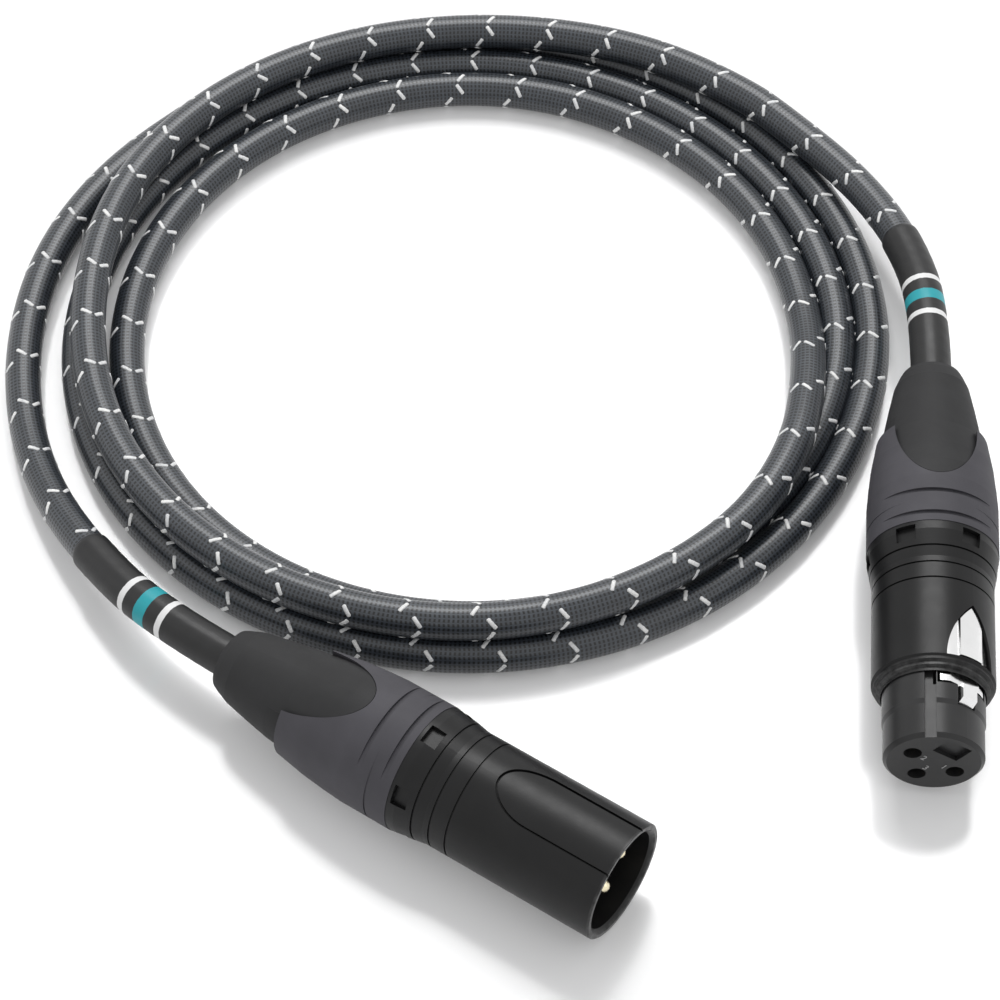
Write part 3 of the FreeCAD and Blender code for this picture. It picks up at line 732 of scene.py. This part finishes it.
def makeSleeveMaterial():
    material, tree, shader = newMaterial("shrinkSleeve", specular=shrinkSleeve["specular"])
    run, weave = braidPlace(tree)
    grain = placeGroup(tree, grainGroup, {"Base": opaque(shrinkSleeve["base"]), **shrinkSleeve["grain"]})
    colour = grain["Colour"]
    ragged = noiseNode(tree, objectPlace(tree), *shrinkSleeve["raggedNoise"])
    ragged = mathNode(tree, "MULTIPLY", ragged, shrinkSleeve["ragged"])
    fadeStart, fadeEnd = shrinkSleeve["ringEdge"]
    for at, width, paintColour in shrinkSleeve["rings"]:
        away = mathNode(tree, "ABSOLUTE", mathNode(tree, "SUBTRACT", run, at))
        away = mathNode(tree, "ADD", away, ragged)
        ring = rampNode(tree, away, width / 2 + fadeStart, width / 2 + fadeEnd, 1.0, 0.0)
        colour = mixNode(tree, ring, colour, opaque(paintColour))
    feed(tree, shader["Base Color"], colour)
    feed(tree, shader["Roughness"], grain["Roughness"])
    shows = shrinkSleeve["weaveShows"]
    height = mathNode(tree, "MULTIPLY_ADD", weave["Height"], shows,
                      mathNode(tree, "MULTIPLY", grain["Height"], 1.0 - shows))
    addBump(tree, shader, height, shrinkSleeve["bump"], shrinkSleeve["depth"] * mm)
    return material


def makeSleeve(side, start, direction, material):
    inner = braidedJacket["diameter"] / 2
    outer = shrinkSleeve["diameter"] / 2
    count = round(shrinkSleeve["length"] / shrinkSleeve["step"])
    stations = []
    for index in range(count + 1):
        gone = shrinkSleeve["length"] * index / count
        full = ((shrinkSleeve["length"] - gone) / shrinkSleeve["lip"]) ** 0.5
        edge = min(1.0, shrinkSleeve["thinnest"] + (1.0 - shrinkSleeve["thinnest"]) * full)
        stations.append((start + direction * gone, inner + (outer - inner) * edge))
    stations.append((start + direction * shrinkSleeve["length"], inner * 1.003))      # closes on the cable

    def ripple(run, turn):
        return shrinkSleeve["ripple"] * sin(3 * turn + run * 900) * sin(run * 1300 + turn)

    work = tubeAlong(stations, shrinkSleeve["sides"], start, ripple)
    thing = addPiece(side + "ShrinkSleeve", work, material)
    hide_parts(side + "_sleeve")
    return thing


sleeveMaterial = makeSleeveMaterial()
maleSleeve = makeSleeve("male", 0.0, 1, sleeveMaterial)
femaleSleeve = makeSleeve("female", cableLength, -1, sleeveMaterial)
clearOfSleeve = shrinkSleeve["length"] + 0.6 * mm
whiteYarns = makeYarns(clearOfSleeve, cableLength - clearOfSleeve)
print("sleeves and white yarn made,", len(whiteYarns.data.polygons), "faces of yarn")

# the coil spring under the latch; lengths in mm, places from the face and above the axis
returnSpring = {
    "turns": 5.5,
    "wire": 0.3,
    "radius": 1.15,
    "behindFace": 17.5,
    "seat": 2.6,
    "top": 6.65,
    "flatShare": 0.12,           # share of the wire that lies flat at each end
    "keep": 0.82,                # how much of its height is left with the latch pressed
    "stepsPerTurn": 20,
    "sides": 8,
}


def makeSpring():
    seat = femaleFace - femaleAxis * returnSpring["behindFace"] * mm + femaleUp * returnSpring["seat"] * mm
    wire = returnSpring["wire"] / 2 * mm
    rise = (returnSpring["top"] - returnSpring["seat"]) * mm - 2 * wire
    flat = returnSpring["flatShare"]
    work = bmesh.new()
    rings = []
    count = int(returnSpring["turns"] * returnSpring["stepsPerTurn"])
    for index in range(count + 1):
        share = index / count
        turn = 2 * pi * returnSpring["turns"] * share
        lifted = min(max((share - flat) / (1 - 2 * flat), 0.0), 1.0)
        out = femaleAxis * cos(turn) + femaleSide * sin(turn)
        centre = seat + out * returnSpring["radius"] * mm + femaleUp * (wire + lifted * rise)
        ring = []
        for side in range(returnSpring["sides"]):
            angle = 2 * pi * side / returnSpring["sides"]
            ring.append(work.verts.new(centre + (out * cos(angle) + femaleUp * sin(angle)) * wire))
        rings.append(ring)
    skin(work, rings)
    thing = addPiece("returnSpringWire", work, hardMaterials["springSteel"])
    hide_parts("female_latch_spring")
    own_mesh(thing)


makeSpring()
print("return spring made")

# plain raised numbers, painted, beside the three contact holes
contactNumbers = {
    "height": 1.15,              # mm
    "fontRatio": 1.4,            # the font's own size against the height of a digit
    "proud": 0.05,
    "inset": 1.95,               # from the face's centre to the middle of each number
    "places": {"1": 90, "2": 270, "3": 180},       # degrees from the latch side
}


def makeNumbers():
    facing = Matrix((femaleSide, femaleUp, femaleAxis)).transposed()
    for text, angle in contactNumbers["places"].items():
        data = bpy.data.curves.new("contactNumber" + text, "FONT")
        data.body = text
        data.size = contactNumbers["height"] * contactNumbers["fontRatio"] * mm
        data.align_x = "CENTER"
        data.align_y = "CENTER"
        data.extrude = contactNumbers["proud"] * mm
        thing = addObject("contactNumber" + text, data)
        turn = radians(angle)
        out = femaleUp * cos(turn) + femaleSide * sin(turn)
        place = femaleFace + out * contactNumbers["inset"] * mm
        thing.matrix_world = Matrix.Translation(place) @ facing.to_4x4()
        data.materials.append(hardMaterials["numeralPaint"])
        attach(thing, "root")


makeNumbers()
print("contact numbers made")

studioSet = {
    "floorSize": 3.0,
    "floorHeight": -0.00001,     # a hair below the object, so that no faces coincide
    "floorColour": (0.84, 0.84, 0.845),
    "floorRoughness": 0.18,
    "floorSpecular": 0.6,
    # strength added to what a camera or a mirror sees of the floor, near the object and far away
    "floorLift": (0.12, 0.42),
    "liftReach": (0.3, 1.2),     # distances in metres between which it grows
    "skyDiffuse": 0.66,          # the sky's strength as light on the object
    # name, place, size and power of each soft lamp
    "lamps": [
        ("softBack", (-0.30, 0.44, 0.74), (0.52, 0.30), 4.2),
        ("softLeft", (-0.75, -0.35, 0.55), (0.40, 0.8), 0.55),
        ("softRight", (0.72, 0.05, 0.6), (0.40, 0.8), 0.5),
    ],
}


# 1 for rays from the camera and for those that glossy and clear surfaces send out
def seenRays(tree, path):
    seen = mathNode(tree, "MAXIMUM", path["Is Camera Ray"], path["Is Glossy Ray"])
    return mathNode(tree, "MAXIMUM", seen, path["Is Transmission Ray"])


def makeFloor():
    mesh = bpy.data.meshes.new("studioFloor")
    half, height = studioSet["floorSize"] / 2, studioSet["floorHeight"]
    corners = [(x * half, y * half, height) for x, y in ((-1, -1), (1, -1), (1, 1), (-1, 1))]
    mesh.from_pydata(corners, [], [(0, 1, 2, 3)])
    thing = addObject("studioFloor", mesh)
    material, tree, shader = newMaterial("studioFloor", specular=studioSet["floorSpecular"])
    shader["Base Color"].default_value = opaque(studioSet["floorColour"])
    shader["Roughness"].default_value = studioSet["floorRoughness"]
    shader["Emission Color"].default_value = (1, 1, 1, 1)
    seen = seenRays(tree, addNode(tree, "ShaderNodeLightPath").outputs)
    away = vectorNode(tree, "LENGTH", objectPlace(tree))
    lift = rampNode(tree, away, *studioSet["liftReach"], *studioSet["floorLift"])
    feed(tree, shader["Emission Strength"], mathNode(tree, "MULTIPLY", seen, lift))
    mesh.materials.append(material)


def makeWorld():
    world = bpy.data.worlds.new("studioWorld")
    bpy.context.scene.world = world
    world.use_nodes = True
    tree = world.node_tree
    tree.nodes.clear()
    path = addNode(tree, "ShaderNodeLightPath").outputs
    diffuse = mathNode(tree, "MULTIPLY", path["Is Diffuse Ray"], studioSet["skyDiffuse"])
    back = addNode(tree, "ShaderNodeBackground")
    back.inputs["Color"].default_value = (1, 1, 1, 1)
    feed(tree, back.inputs["Strength"], mathNode(tree, "MAXIMUM", seenRays(tree, path), diffuse))
    tree.links.new(back.outputs[0], addNode(tree, "ShaderNodeOutputWorld").inputs["Surface"])


def makeLamps():
    for name, place, size, power in studioSet["lamps"]:
        data = bpy.data.lights.new(name, "AREA")
        data.shape = "RECTANGLE"
        data.size, data.size_y = size
        data.energy = power
        lamp = addObject(name, data)
        lamp.location = place
        look = Vector(viewCamera["target"]) - Vector(place)
        lamp.rotation_euler = look.to_track_quat("-Z", "Y").to_euler()


makeFloor()
makeWorld()
makeLamps()
bpy.context.scene.view_settings.view_transform = "Standard"
print("stage and light made")
